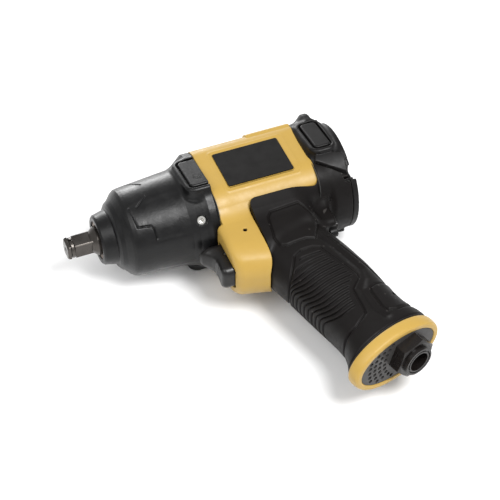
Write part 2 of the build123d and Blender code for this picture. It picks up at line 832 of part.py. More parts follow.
with BuildPart() as trigger:
    with BuildSketch(Plane.XY.offset(-trigger_half_width)):
        with BuildLine():
            top = Line((trigger_rear, trigger_top), (68.6, trigger_top + 0.3))
            nose = ThreePointArc(top @ 1, (66.8, -33.4), (66.9, -35.4))
            face = Spline(nose @ 1, (71.6, -41.6), (73.4, -47.0), (72.8, -53.4),
                          tangents=[(0.4, -1), (-0.25, -1)])
            toe = ThreePointArc(face @ 1, (73.4, -56.0), (75.8, trigger_bottom))
            base = Line(toe @ 1, (trigger_rear, trigger_bottom))
            Line(base @ 1, top @ 0)
        make_face()
    extrude(amount=2 * trigger_half_width)
    # Rounded long edges, and a nose that narrows to the front.
    with BuildSketch(Plane.YZ.offset(pocket_start)):
        with Locations(((trigger_top + trigger_bottom) / 2, 0)):
            RectangleRounded(trigger_top - trigger_bottom + 0.6, 2 * trigger_half_width, trigger_rounding)
    extrude(amount=trigger_rear - pocket_start, mode=Mode.INTERSECT)
    with BuildSketch(Plane.XZ.offset(-trigger_top - 1)):
        with BuildLine():
            Polyline((66.0, -2.0), (73.5, -trigger_half_width), (trigger_rear, -trigger_half_width),
                     (trigger_rear, trigger_half_width), (73.5, trigger_half_width), (66.0, 2.0), close=True)
        make_face()
    extrude(amount=40, mode=Mode.INTERSECT)
    with BuildSketch(Plane.YZ.offset(rod_start)):
        with Locations((trigger_y, 0)):
            Circle(rod_radius + press_allowance)
    extrude(amount=20, mode=Mode.SUBTRACT)
    with BuildSketch(Plane.XY.offset(-10)):
        with Locations((roll_pin_x, trigger_y)):
            Circle(roll_pin_radius)
    extrude(amount=20, mode=Mode.SUBTRACT)

# The rod's round nose stands just clear of the valve stem.
stem_front_p = inlet_p - stem_radius
rod_centre_p = stem_front_p - stem_gap - rod_radius
rod_centre_x = (rod_centre_p + sin(radians(handle_rake)) * -trigger_y) / cos(radians(handle_rake))

with BuildPart() as trigger_rod:
    with BuildSketch(Plane.YZ.offset(rod_start)):
        with Locations((trigger_y, 0)):
            Circle(rod_radius)
    extrude(amount=rod_centre_x - rod_start)
    with Locations((rod_centre_x, trigger_y, 0)):
        Sphere(rod_radius)
    with BuildSketch(Plane.XY.offset(-10)):
        with Locations((roll_pin_x, trigger_y)):
            Circle(roll_pin_radius)
    extrude(amount=20, mode=Mode.SUBTRACT)

with BuildPart() as trigger_roll_pin:
    with BuildSketch(Plane.XY.offset(-roll_pin_length / 2)):
        with Locations((roll_pin_x, trigger_y)):
            Circle(roll_pin_radius)
    extrude(amount=roll_pin_length)

with BuildPart() as trigger_bushing:
    with BuildSketch(Plane.YZ.offset(bushing_start)):
        with Locations((trigger_y, 0)):
            Circle(bushing_outer)
            Circle(rod_radius + running_gap, mode=Mode.SUBTRACT)
    extrude(amount=bushing_end - bushing_start)
    with BuildSketch(Plane.XY.offset(-6)):
        with Locations((bushing_pin_x, bushing_pin_y)):
            Circle(bushing_pin_radius)
    extrude(amount=12, mode=Mode.SUBTRACT)

with BuildPart() as bushing_pin:
    with BuildSketch(Plane.XY.offset(-17)):
        with Locations((bushing_pin_x, bushing_pin_y)):
            Circle(bushing_pin_radius - press_allowance)
            Circle(bushing_pin_radius - 0.4, mode=Mode.SUBTRACT)
    extrude(amount=34)

with BuildPart() as valve_seat:
    revolve(inlet_band(seat_h, seat_h + seat_thickness, 3.8, seat_outer_radius), axis=inlet_axis)

head_start = seat_h + seat_thickness + 0.15
with BuildPart() as throttle_valve:
    revolve(inlet_band(head_start, head_start + valve_head_height, 0, valve_head_radius), axis=inlet_axis)
    revolve(inlet_band(stem_top_h, head_start, 0, stem_radius), axis=inlet_axis)

screen_start = 126.0
spring_wire = 0.45
spring_start = head_start + valve_head_height + 2 * spring_wire
spring_length = screen_start - 2 * spring_wire - spring_start
spring_turns = 8


def coil_spring(foot, direction, turns, length, radius, wire):
    """Open helical spring of round wire, standing on its foot."""
    with BuildPart() as spring:
        with BuildLine():
            helix = Helix(pitch=length / turns, height=length, radius=radius, center=foot,
                          direction=direction)
        with BuildSketch(Plane(origin=helix @ 0, z_dir=helix % 0)):
            Circle(wire)
        sweep(is_frenet=True)
    return spring.part


with BuildPart() as valve_spring:
    add(coil_spring(handle.from_local_coords((spring_start, inlet_p, 0)), down, spring_turns,
                    spring_length, 4.2, spring_wire))

with BuildPart() as inlet_screen:
    revolve(inlet_band(screen_start, sleeve_start, 0, 6.6), axis=inlet_axis)
    revolve(inlet_band(screen_start + 0.6, sleeve_start, 0, 6.0), axis=inlet_axis, mode=Mode.SUBTRACT)
    for level in range(4):
        with BuildSketch(across_handle(screen_start + 4 + 5 * level, inlet_p)):
            with PolarLocations(6.3, 8):
                Rectangle(2.4, 1.8)
        extrude(amount=3, mode=Mode.SUBTRACT)

# ---------------------------------------------------------------- base of the handle
grille_thickness = 2.6
grille_end = base_end - 0.4
grille_start = grille_end - grille_thickness
ledge = 1.5
hex_across_flats = 22.0
hex_end = 181.4
inlet_face = 184.0
thread_radius = 5.9
thread_length = 14.0
grille_half_length = 25.2
grille_half_width = 14.6


def base_outline(h, shrink=0.0):
    """Outline of the grille at depth h."""
    with BuildSketch(across_handle(h, base_centre)) as face:
        Ellipse(grille_half_length - shrink, grille_half_width - shrink)
    return face.sketch


with BuildPart() as base_ring:
    with BuildSketch(across_handle(base_start, base_centre)) as ring_top:
        Ellipse(base_half_length, base_half_width)
    with BuildSketch(across_handle(base_start + 3.5, base_centre)) as ring_waist:
        Ellipse(base_half_length + 0.6, base_half_width + 0.5)
    with BuildSketch(across_handle(base_end, base_centre)) as ring_foot:
        Ellipse(base_half_length - 0.8, base_half_width - 0.6)
    loft([ring_top.sketch, ring_waist.sketch, ring_foot.sketch])
    extrude(base_outline(base_start + ledge), amount=base_end - base_start, mode=Mode.SUBTRACT)
    extrude(base_outline(base_start - 1, 2.0), amount=6, mode=Mode.SUBTRACT)

with BuildPart() as exhaust_muffler:
    extrude(base_outline(base_start + ledge, 0.05), amount=grille_start - base_start - ledge)
    revolve(inlet_band(base_start, base_end, 0, sleeve_radius + 0.1), axis=inlet_axis, mode=Mode.SUBTRACT)

hole_radius = 1.15
hole_rows = (15.8, 19.2, 22.6, 26.0)
hole_pitch = 3.4


def grille_holes():
    """Spots of the exhaust holes, on arcs about the inlet, that stay inside the outline."""
    spots = []
    for radius in hole_rows:
        half_count = int(pi * radius / 2 / hole_pitch)
        for step in range(-half_count, half_count + 1):
            angle = pi + step * hole_pitch / radius
            u = inlet_p - base_centre + radius * cos(angle)
            v = radius * sin(angle)
            reach = hypot(u / (grille_half_length - 1.9), v / (grille_half_width - 1.9))
            if u < 2 and reach < 1:
                spots.append((u, v))
    return spots


with BuildPart() as exhaust_grille:
    extrude(base_outline(grille_start, 0.05), amount=grille_thickness)
    revolve(inlet_band(base_start, base_end, 0, sleeve_radius + 0.1), axis=inlet_axis, mode=Mode.SUBTRACT)
    with BuildSketch(across_handle(grille_start, base_centre)):
        with Locations(*grille_holes()):
            Circle(hole_radius)
    extrude(amount=grille_thickness, mode=Mode.SUBTRACT)

o_ring_h = 160.5
with BuildPart() as inlet_bushing:
    revolve(inlet_band(sleeve_start, grille_end, 0, sleeve_radius), axis=inlet_axis)
    with BuildSketch(across_handle(grille_end, inlet_p)):
        RegularPolygon(radius=hex_across_flats / 2, side_count=6, major_radius=False, rotation=10)
    extrude(amount=hex_end - grille_end)
    # Chamfered corners on both ends of the hexagon.
    chamfer_reach = hex_across_flats / 2 + 0.2
    corner_reach = hex_across_flats / 2 / cos(pi / 6) + 1
    revolve(
        outline(
            (hex_end - 1.1, inlet_p + corner_reach), (hex_end, inlet_p + chamfer_reach - 0.6),
            (hex_end + 1, inlet_p + corner_reach), plane=handle,
        ),
        axis=inlet_axis,
        mode=Mode.SUBTRACT,
    )
    revolve(inlet_band(hex_end, inlet_face, 0, 8.7), axis=inlet_axis)
    revolve(inlet_band(inlet_face - 0.8, inlet_face, 6.8, 7.6), axis=inlet_axis, mode=Mode.SUBTRACT)
    revolve(inlet_band(inlet_face - thread_length, inlet_face, 0, thread_radius), axis=inlet_axis,
            mode=Mode.SUBTRACT)
    revolve(inlet_band(sleeve_start, inlet_face - thread_length, 0, 4.8), axis=inlet_axis,
            mode=Mode.SUBTRACT)
    revolve(inlet_band(o_ring_h - 0.7, o_ring_h + 0.7, 8.2, sleeve_radius), axis=inlet_axis,
            mode=Mode.SUBTRACT)

with BuildPart() as inlet_o_ring:
    with BuildSketch(handle):
        with Locations((o_ring_h, inlet_p + 8.7)):
            Circle(0.49)
    revolve(axis=inlet_axis)

# ---------------------------------------------------------------- reverse valve
with BuildPart() as reverse_valve:
    with BuildSketch(Plane.YZ.offset(reverse_start)):
        with Locations((reverse_y, 0)):
            Circle(reverse_radius)
    extrude(amount=lever_start - reverse_start)
    # Air passage on one side, the detent's groove and the screw's thread.
    with BuildSketch(Plane.YZ.offset(reverse_start)):
        with Locations((reverse_y + reverse_radius, 0)):
            Circle(2.6)
    extrude(amount=12, mode=Mode.SUBTRACT)
    with BuildSketch(Plane.YZ.offset(detent_x - 1.5)):
        with Locations((reverse_y, 0)):
            Circle(reverse_radius + 1)
            Circle(detent_groove_radius, mode=Mode.SUBTRACT)
    extrude(amount=3, mode=Mode.SUBTRACT)
    with BuildSketch(Plane.YZ.offset(lever_start - lever_screw_depth)):
        with Locations((reverse_y, 0)):
            Circle(lever_screw_radius)
    extrude(amount=lever_screw_depth, mode=Mode.SUBTRACT)

with BuildPart() as reverse_lever:
    with BuildSketch(Plane.YZ.offset(lever_start)):
        with Locations((reverse_y, 0)):
            Circle(lever_hub_radius)
        with BuildLine():
            Polyline((reverse_y, -4.4), (lever_tip_y + 2.0, -3.0), (lever_tip_y + 2.0, 3.0),
                     (reverse_y, 4.4), close=True)
        make_face()
        with Locations((lever_tip_y + 2.6, 0)):
            Circle(lever_tip_radius)
        with Locations((reverse_y, 0)):
            Circle(lever_screw_radius, mode=Mode.SUBTRACT)
    extrude(amount=lever_thickness)
    fillet(reverse_lever.faces().filter_by(Axis.X).edges().filter_by(
        lambda edge: edge.center().Y < reverse_y - 4), radius=0.8)

with BuildPart() as lever_screw:
    with BuildSketch(Plane.YZ.offset(lever_start - lever_screw_depth)):
        with Locations((reverse_y, 0)):
            Circle(lever_screw_radius)
    extrude(amount=lever_screw_depth + lever_thickness)
    with BuildSketch(Plane.YZ.offset(lever_start + lever_thickness)):
        with Locations((reverse_y, 0)):
            Circle(screw_head_radius)
    extrude(amount=screw_head_height)
    with BuildSketch(Plane.YZ.offset(lever_start + lever_thickness + screw_head_height)):
        with Locations((reverse_y, 0)):
            Rectangle(4.4, 0.8)
    extrude(amount=-0.9, mode=Mode.SUBTRACT)

with BuildPart() as detent_ball:
    with Locations((detent_x, reverse_y, detent_groove_radius + detent_ball_radius + 0.15)):
        Sphere(detent_ball_radius)

with BuildPart() as detent_spring:
    add(coil_spring(Vector(detent_x, reverse_y, 7.0), Vector(0, 0, 1), 5, 5.2, 0.95, 0.22))

# ---------------------------------------------------------------- bearings
with BuildPart() as front_bearing_outer_race:
    add(race(front_bearing_start, bearing_pitch_radius + race_clearance, bearing_outer_radius))

with BuildPart() as front_bearing_inner_race:
    add(race(front_bearing_start, shaft_radius + press_allowance, bearing_pitch_radius - race_clearance))

with BuildPart() as front_bearing_balls:
    add(bearing_balls(front_bearing_start))

with BuildPart() as front_bearing_cage:
    add(bearing_cage(front_bearing_start))

with BuildPart() as rear_bearing_outer_race:
    add(race(rear_bearing_start, bearing_pitch_radius + race_clearance, bearing_outer_radius))

with BuildPart() as rear_bearing_inner_race:
    add(race(rear_bearing_start, shaft_radius + press_allowance, bearing_pitch_radius - race_clearance))

with BuildPart() as rear_bearing_balls:
    add(bearing_balls(rear_bearing_start))

with BuildPart() as rear_bearing_cage:
    add(bearing_cage(rear_bearing_start))

# ---------------------------------------------------------------- labels and files
nodes = {
    "hammer_case": hammer_case,
    "anvil_bushing": anvil_bushing,
    "hammer_case_gasket": hammer_case_gasket,
    "case_set_screw": case_set_screw,
    "motor_housing": motor_housing,
    "grip_overmold": grip_overmold,
    "name_plate": name_plate,
    "rear_cover": rear_cover,
    "rear_gasket": rear_gasket,
    "housing_bolts": housing_bolts,
    "cylinder_liner": cylinder_liner,
    "liner_dowel": liner_dowel,
    "front_end_plate": front_end_plate,
    "rear_end_plate": rear_end_plate,
    "front_bearing_outer_race": front_bearing_outer_race,
    "front_bearing_inner_race": front_bearing_inner_race,
    "front_bearing_balls": front_bearing_balls,
    "front_bearing_cage": front_bearing_cage,
    "rear_bearing_outer_race": rear_bearing_outer_race,
    "rear_bearing_inner_race": rear_bearing_inner_race,
    "rear_bearing_balls": rear_bearing_balls,
    "rear_bearing_cage": rear_bearing_cage,
    "rotor": rotor,
    "rotor_vanes": rotor_vanes,
    "hammer_cage": hammer_cage,
    "hammer_pins": hammer_pins,
    "front_hammer": front_hammer,
    "rear_hammer": rear_hammer,
    "anvil": anvil,
    "friction_ring": friction_ring,
    "ring_o_ring": ring_o_ring,
    "trigger": trigger,
    "trigger_rod": trigger_rod,
    "trigger_roll_pin": trigger_roll_pin,
    "trigger_bushing": trigger_bushing,
    "bushing_pin": bushing_pin,
    "throttle_valve": throttle_valve,
    "valve_seat": valve_seat,
    "valve_spring": valve_spring,
    "inlet_screen": inlet_screen,
    "inlet_bushing": inlet_bushing,
    "inlet_o_ring": inlet_o_ring,
    "base_ring": base_ring,
    "exhaust_muffler": exhaust_muffler,
    "exhaust_grille": exhaust_grille,
    "reverse_valve": reverse_valve,
    "reverse_lever": reverse_lever,
    "lever_screw": lever_screw,
    "detent_ball": detent_ball,
    "detent_spring": detent_spring,
}

os.makedirs("parts", exist_ok=True)
for node_name, node in nodes.items():
    node.part.label = node_name
    export_step(node.part, f"parts/{node_name}.step")
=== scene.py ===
import json
import math
import bpy
import numpy as np
from mathutils import Matrix, Vector


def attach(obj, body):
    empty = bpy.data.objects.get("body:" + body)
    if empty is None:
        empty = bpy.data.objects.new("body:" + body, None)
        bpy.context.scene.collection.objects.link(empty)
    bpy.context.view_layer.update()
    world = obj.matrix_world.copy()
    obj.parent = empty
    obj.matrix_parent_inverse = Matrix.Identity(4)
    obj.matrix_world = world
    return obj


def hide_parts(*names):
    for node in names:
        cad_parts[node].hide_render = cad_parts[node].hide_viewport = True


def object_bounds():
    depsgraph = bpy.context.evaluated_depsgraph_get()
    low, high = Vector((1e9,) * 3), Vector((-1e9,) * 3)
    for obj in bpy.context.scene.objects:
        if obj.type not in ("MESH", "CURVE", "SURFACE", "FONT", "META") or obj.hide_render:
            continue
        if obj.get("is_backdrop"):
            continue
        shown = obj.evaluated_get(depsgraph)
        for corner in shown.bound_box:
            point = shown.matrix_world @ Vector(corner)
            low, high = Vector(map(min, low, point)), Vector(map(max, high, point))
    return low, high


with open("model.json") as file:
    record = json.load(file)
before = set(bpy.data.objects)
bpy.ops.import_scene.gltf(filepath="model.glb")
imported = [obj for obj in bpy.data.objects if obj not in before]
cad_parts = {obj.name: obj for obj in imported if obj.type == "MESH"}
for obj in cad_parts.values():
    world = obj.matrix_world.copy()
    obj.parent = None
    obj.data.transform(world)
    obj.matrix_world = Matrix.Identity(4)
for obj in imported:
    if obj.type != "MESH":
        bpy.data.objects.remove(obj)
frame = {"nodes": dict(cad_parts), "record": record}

cad_low, cad_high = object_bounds()

MM = 0.001
GRID = 0.5
FINE_GRID = 0.4
# Fields are worked out in blocks of this many cells a side. A block is skipped where its middle is
# further from the surface than BLOCK_REACH of its side plus BLOCK_MARGIN; half its diagonal is 0.87 of
# its side.
BLOCK = 8
BLOCK_REACH = 1.4 * 0.87
BLOCK_MARGIN = 2.5
BATCH = 500
RAKE = math.radians(16.5)
SIN, COS = math.sin(RAKE), math.cos(RAKE)

# Places that several pieces share, in millimetres.
CASE_END = 82.2
HOUSING_START = 82.6
COVER_START = 143.45
SEAM_X = 100.5
UPPER_BOLT = 21.2
LOWER_BOLT = 19.7
BOLT_WAY_RADIUS = 2.15
EAR_END = 157.0
INLET_P = 100.4
TRIGGER_Y = 44.8
ROD_Y = 42.7
LEVER_Y = 38
RUBBER_END_H = 166.9


# ------------------------------------------------------------------ signed distances, in millimetres
def both(a, b, r):
    """Where both hold, with the edge between them rounded to r."""
    return np.minimum(np.maximum(a, b), -r) + np.hypot(np.maximum(a + r, 0), np.maximum(b + r, 0))


def either(a, b, r):
    """Where either holds, with a fillet of r between them."""
    return -both(-a, -b, r)


def blend(a, b, k):
    """Soft union over k."""
    h = np.maximum(k - np.abs(a - b), 0) / k
    return np.minimum(a, b) - h * h * k / 4


def cut(a, b, r):
    """a without b."""
    return both(a, -b, r)


def span(v, low, high):
    return np.abs(v - (low + high) / 2) - (high - low) / 2


def box(u, v, half_u, half_v, r):
    """Rounded rectangle about the origin."""
    a = np.abs(u) - half_u + r
    b = np.abs(v) - half_v + r
    return np.minimum(np.maximum(a, b), 0) + np.hypot(np.maximum(a, 0), np.maximum(b, 0)) - r


def polygon(u, v, points):
    """Distance to a closed outline, negative inside."""
    nearest = np.full(np.shape(u), 1e9, dtype=np.float32)
    inside = np.zeros(np.shape(u), dtype=bool)
    for (ax, ay), (bx, by) in zip(points, points[1:] + points[:1]):
        ex, ey = bx - ax, by - ay
        wx, wy = u - ax, v - ay
        t = np.clip((wx * ex + wy * ey) / (ex * ex + ey * ey), 0, 1)
        nearest = np.minimum(nearest, (wx - t * ex) ** 2 + (wy - t * ey) ** 2)
        if ay != by:
            crosses = ((ay > v) != (by > v)) & (u < ex * (v - ay) / ey + ax)
            inside ^= crosses
    return np.where(inside, -1, 1) * np.sqrt(nearest)


def polyline(u, v, points):
    """Distance to an open line."""
    nearest = np.full(np.shape(u), 1e9, dtype=np.float32)
    for (ax, ay), (bx, by) in zip(points, points[1:]):
        ex, ey = bx - ax, by - ay
        wx, wy = u - ax, v - ay
        t = np.clip((wx * ex + wy * ey) / (ex * ex + ey * ey), 0, 1)
        nearest = np.minimum(nearest, (wx - t * ex) ** 2 + (wy - t * ey) ** 2)
    return np.sqrt(nearest)


def ramp(v, low, high):
    """0 below low, 1 above high, smooth between."""
    t = np.clip((v - low) / (high - low), 0, 1)
    return t * t * (3 - 2 * t)


def groove(distance, half_width, depth):
    """Raises the field along a line, which sinks a groove into the surface."""
    return depth * np.exp(-(distance / half_width) ** 2)


# ------------------------------------------------------------------ meshing
CORNERS = [(i, j, k) for i in (0, 1) for j in (0, 1) for k in (0, 1)]
EDGES = [(a, b) for a in range(8) for b in range(a + 1, 8)
         if sum(abs(CORNERS[a][n] - CORNERS[b][n]) for n in range(3)) == 1]


def gradient(field, p, eps):
    x, y, z = p[:, 0], p[:, 1], p[:, 2]
    return np.stack([
        field(x + eps, y, z) - field(x - eps, y, z),
        field(x, y + eps, z) - field(x, y - eps, z),
        field(x, y, z + eps) - field(x, y, z - eps),
    ], axis=1) / (2 * eps)


def sample(field, low, count, grid):
    """Field on a grid of points, in full only for the blocks that its surface may pass through."""
    blocks = [-(-n // BLOCK) for n in count]
    middle = [low[n] + grid * (BLOCK * np.arange(blocks[n]) + (BLOCK - 1) / 2) for n in range(3)]
    x, y, z = np.meshgrid(*middle, indexing="ij")
    centre = field(x.astype(np.float32), y.astype(np.float32), z.astype(np.float32))
    value = np.empty((*blocks, BLOCK, BLOCK, BLOCK), dtype=np.float32)
    value[:] = centre[..., None, None, None]
    reach = BLOCK_REACH * grid * BLOCK + BLOCK_MARGIN
    near = np.argwhere(np.abs(centre) < reach)
    step = grid * np.arange(BLOCK)
    for start in range(0, len(near), BATCH):
        some = near[start:start + BATCH]
        corner = (low + grid * BLOCK * some)[:, :, None, None, None]
        x, y, z = np.broadcast_arrays(corner[:, 0] + step[:, None, None], corner[:, 1] + step[:, None],
                                      corner[:, 2] + step)
        value[tuple(some.T)] = field(x.astype(np.float32), y.astype(np.float32), z.astype(np.float32))
    value = value.transpose(0, 3, 1, 4, 2, 5).reshape([n * BLOCK for n in blocks])
    return value[:count[0], :count[1], :count[2]]


def skin(name, field, low, high, grid=GRID):
    """Mesh the zero surface of a field inside a box: one point per cell it crosses, then drawn onto it."""
    low = np.array(low, dtype=float)
    count = [int(math.ceil((h - l) / grid)) + 1 for l, h in zip(low, high)]
    value = sample(field, low, count, grid)
    inside = value < 0
    total = np.zeros([n - 1 for n in count], dtype=np.int8)
    for i, j, k in CORNERS:
        total += inside[i:count[0] - 1 + i, j:count[1] - 1 + j, k:count[2] - 1 + k]
    cells = np.argwhere((total > 0) & (total < 8))
    corner = np.stack([value[tuple((cells + shift).T)] for shift in CORNERS], axis=1)
    offset = np.zeros((len(cells), 3))
    hits = np.zeros(len(cells))
    for a, b in EDGES:
        va, vb = corner[:, a], corner[:, b]
        crossed = (va < 0) != (vb < 0)
        t = np.where(crossed, va / np.where(crossed, va - vb, 1), 0)[:, None]
        spot = np.array(CORNERS[a]) + t * (np.array(CORNERS[b]) - np.array(CORNERS[a]))
        offset += np.where(crossed[:, None], spot, 0)
        hits += crossed
    points = low + grid * (cells + offset / hits[:, None])

    number = np.full([n - 1 for n in count], -1, dtype=np.int64)
    number[tuple(cells.T)] = np.arange(len(cells))
    quads = []
    for axis in range(3):
        near = [slice(1, count[n] - 1) for n in range(3)]
        near[axis] = slice(0, count[axis] - 1)
        far = list(near)
        far[axis] = slice(1, count[axis])
        a, b = inside[tuple(near)], inside[tuple(far)]
        u, v = [n for n in range(3) if n != axis]
        for here, flip in ((a & ~b, False), (~a & b, True)):
            spot = np.argwhere(here)
            spot[:, u] += 1
            spot[:, v] += 1
            around = []
            for du, dv in ((1, 1), (0, 1), (0, 0), (1, 0)):
                cell = spot.copy()
                cell[:, u] -= du
                cell[:, v] -= dv
                around.append(number[tuple(cell.T)])
            quad = np.stack(around, axis=1)
            if flip != (axis == 1):
                quad = quad[:, ::-1]
            quads.append(quad)
    quads = np.concatenate(quads)

    for _ in range(3):
        slope = gradient(field, points, 0.05)
        gap = field(points[:, 0], points[:, 1], points[:, 2])
        move = slope * (gap / np.maximum((slope ** 2).sum(axis=1), 0.05))[:, None]
        reach = np.linalg.norm(move, axis=1, keepdims=True)
        points = points - move * np.minimum(1, 0.5 * grid / np.maximum(reach, 1e-9))
    normal = gradient(field, points, 0.08)
    normal /= np.maximum(np.linalg.norm(normal, axis=1, keepdims=True), 1e-9)

    mesh = bpy.data.meshes.new(name)
    mesh.vertices.add(len(points))
    mesh.vertices.foreach_set("co", (points * MM).astype(np.float32).ravel())
    mesh.loops.add(4 * len(quads))
    mesh.loops.foreach_set("vertex_index", quads.astype(np.int32).ravel())
    mesh.polygons.add(len(quads))
    mesh.polygons.foreach_set("loop_start", np.arange(0, 4 * len(quads), 4, dtype=np.int32))
    mesh.polygons.foreach_set("use_smooth", np.ones(len(quads), dtype=bool))
    mesh.update(calc_edges=True)
    mesh.validate()
    mesh.normals_split_custom_set_from_vertices([tuple(n) for n in normal])
    piece = bpy.data.objects.new(name, mesh)
    bpy.context.collection.objects.link(piece)
    return piece


# ------------------------------------------------------------------ forms shared by the housing pieces
def handle_axes(x, y):
    """Depth down the handle and distance rearward, square to it."""
    return SIN * x - COS * y, COS * x + SIN * y


def barrel(x, y, z, grow=0.0):
    """Square bar round the motor, tighter at its upper corners."""
    r = np.where(y > 0, 12.2, 18.5)
    a = np.abs(y) - 28 + r
    b = np.abs(z) - 28 + r
    return np.minimum(np.maximum(a, b), 0) + np.hypot(np.maximum(a, 0), np.maximum(b, 0)) - r - grow


GRIP = np.array([
    (30, 75.0, 121.0, 22.5, 3.0),
    (40, 75.0, 121.0, 21.5, 3.0),
    (62, 75.5, 119.6, 19.0, 2.8),
    (84, 75.5, 120.2, 17.4, 2.6),
    (102, 75.6, 121.6, 17.0, 2.5),
    (118, 75.3, 121.6, 17.0, 2.5),
    (131, 75.2, 120.4, 17.0, 2.5),
    (145, 75.4, 118.2, 17.0, 2.5),
    (154, 74.2, 118.4, 17.2, 2.4),
    (162, 70.0, 122.0, 17.7, 2.2),
    (167, 65.4, 122.6, 18.0, 2.0),
])
DEPTH = np.arange(30, 175, 0.5)


def smooth_table(table):
    """Each column against depth, with its corners eased."""
    columns = []
    for column in table.T[1:]:
        line = np.interp(DEPTH, table[:, 0], column)
        for _ in range(40):
            line[1:-1] = (line[:-2] + 2 * line[1:-1] + line[2:]) / 4
        columns.append(line)
    return columns


GRIP_COLUMNS = smooth_table(GRIP)


def grip(x, y, z):
    """Oval handle: its section changes with depth."""
    h, p = handle_axes(x, y)
    front, rear, width, fullness = [np.interp(h, DEPTH, column) for column in GRIP_COLUMNS]
    along = np.abs(p - (front + rear) / 2) + 1e-3
    across = np.abs(z) + 1e-3
    size = ((along / ((rear - front) / 2)) ** fullness + (across / width) ** fullness) ** (1 / fullness)
    return np.hypot(along, across) * (1 - 1 / size)


def root(x, y, z):
    """Block behind the trigger, narrowing downward."""
    width = np.interp(y, [-70, -50, -30], [17.4, 18.4, 20.5])
    return box(x - 102.4, z, 23.0, width, 5.0)


def lip(x, y, z):
    """Everything above the rounded underside of the root."""
    slope = math.radians(14)
    below = -((x - 80) * math.sin(slope) + (y + 60.8) * math.cos(slope))
    return both(below, np.abs(z) - 18.8, 17.0)


def yellow_zone(x, y, z):
    """Side view of the yellow parts: barrel and root, with rounded corners between."""
    bar = both(x - 144.0, -23.8 - y, 4.0)
    swing = 2.5 * (1 - ramp(np.abs(z), 3, 16)) * ramp(-y, 44, 56)
    return either(bar, x - 100.3 + swing, 4.0)


def yellow_form(x, y, z):
    block = np.maximum(both(root(x, y, z), lip(x, y, z), 5.0), y)
    return either(barrel(x, y, z), block, 6.0)


def from_upper_bolts(y, z):
    """Distance from the axis of the nearer upper bolt."""
    return np.hypot(y - UPPER_BOLT, np.abs(z) - UPPER_BOLT)


def from_lower_bolts(y, z):
    """Distance from the axis of the nearer lower bolt."""
    return np.hypot(y + LOWER_BOLT, np.abs(z) - LOWER_BOLT)


def case_room(x, y, z):
    """Space that the hammer case's flange takes, ahead of the housing."""
    return np.maximum(x - HOUSING_START, barrel(x, y, z, 0.35))


def inlet(h, p, z):
    return np.hypot(p - INLET_P, z)


def hollows(x, y, z):
    """Motor bore, trigger pocket, rod's way, valve chamber and inlet bore."""
    h, p = handle_axes(x, y)
    bore = np.maximum(np.hypot(y, z) - 25, span(x, 60, 150))
    pocket = np.maximum(box(y + TRIGGER_Y, z, 12.35, 7.85, 3.0), span(x, 60, 90))
    rod = np.maximum(np.hypot(y + ROD_Y, z) - 4.0, span(x, 89, 98))
    way = np.maximum(np.hypot(y + ROD_Y, z) - 2.4, span(x, 97, 110))
    around = inlet(h, p, z)
    chamber = np.maximum(around - 7.5, span(h, 66.5, 92))
    chamber = np.minimum(chamber, np.maximum(around - 8.5, span(h, 90, 151)))
    chamber = np.minimum(chamber, np.maximum(around - 9.25, span(h, 150, 180)))
    reverse = np.maximum(np.hypot(y + LEVER_Y, z) - 4.6, span(x, 122, 152))
    pin = np.hypot(x - 92.7, y + 39.0) - 1.2
    detent = np.maximum(np.hypot(x - 129.5, y + LEVER_Y) - 1.4, span(z, 0, 12.8))
    found = bore
    for hollow in (pocket, rod, way, chamber, reverse, pin, detent):
        found = np.minimum(found, hollow)
    return found


def yellow_housing(x, y, z):
    form = yellow_form(x, y, z)
    # A shallow ridge along each upper edge, and the border round the name plate.
    along_edge = np.abs(np.abs(z) - y)
    form = form - 1.15 * ramp(x, 116.3, 117.3) * (1 - ramp(along_edge, 4.5, 7.5)) * ramp(y, 12, 15)
    plate = box(x - 112.65, y + 0.4, 19.85, 13.75, 0.8)
    frame_line = np.abs(box(x - 113.4, y + 0.4, 22.6, 15.9, 2.0))
    flank = ramp(z, 20, 24)
    form = form + flank * (0.35 * (1 - ramp(plate, -0.1, 0.25)) - groove(frame_line, 0.7, 0.22))
    zone = yellow_zone(x, y, z)
    shell = both(form, zone + 0.12, 0.35)
    shell = both(shell, HOUSING_START - x, 0.5)
    # The root reaches ahead of the barrel below the hammer case.
    tab = both(both(root(x, y, z), lip(x, y, z), 5.0), y + 30.2, 1.2)
    tab = np.maximum(tab, span(x, 70, 86))
    shell = np.minimum(shell, tab)
    shell = cut(shell, case_room(x, y, z), 0.4)
    # The core of the handle, under the rubber.
    core = both(grip(x, y, z) + 3.0, handle_axes(x, y)[0] - 167.0, 0.4)
    core = np.maximum(core, span(x, 70, 160))
    core = both(core, y + 26, 0.4)
    inner = np.maximum(barrel(x, y, z) + 1.4, span(x, 95, 143))
    shell = np.minimum(np.minimum(shell, core), inner)
    return cut(shell, hollows(x, y, z), 0.3)


# ------------------------------------------------------------------ rubber grip and lower barrel
UPPER_PANEL = [
    (107.3, -36.4), (109.9, -33.7), (126.8, -32.8), (129.2, -35.5), (133.4, -45.8), (127.0, -58.7),
    (121.7, -57.0), (110.3, -57.8), (106.8, -56.3), (105.4, -50.5),
]
RIB_PANEL = [
    (109.5, -68.9), (111.0, -66.3), (115.7, -64.0), (122.6, -63.8), (126.5, -65.5), (131.6, -77.1),
    (137.1, -90.6), (137.2, -93.6), (130.6, -101.0), (130.2, -116.7), (129.6, -119.3),
    (122.1, -124.1), (116.2, -125.0), (111.3, -127.9), (106.0, -135.0), (85.0, -135.0),
    (85.0, -80.0), (99.2, -84.1), (107.5, -72.2),
]
RIB_ZONE = [
    (116.0, -66.0), (124.0, -66.0), (134.6, -91.0), (129.0, -98.0), (126.6, -105.0),
    (126.6, -114.5), (85.0, -116.0), (85.0, -78.0), (103.0, -80.0),
]
BACK_LINE = [(134.8, -57.1), (139.5, -68.4), (145.5, -83.2), (150.5, -97.0)]
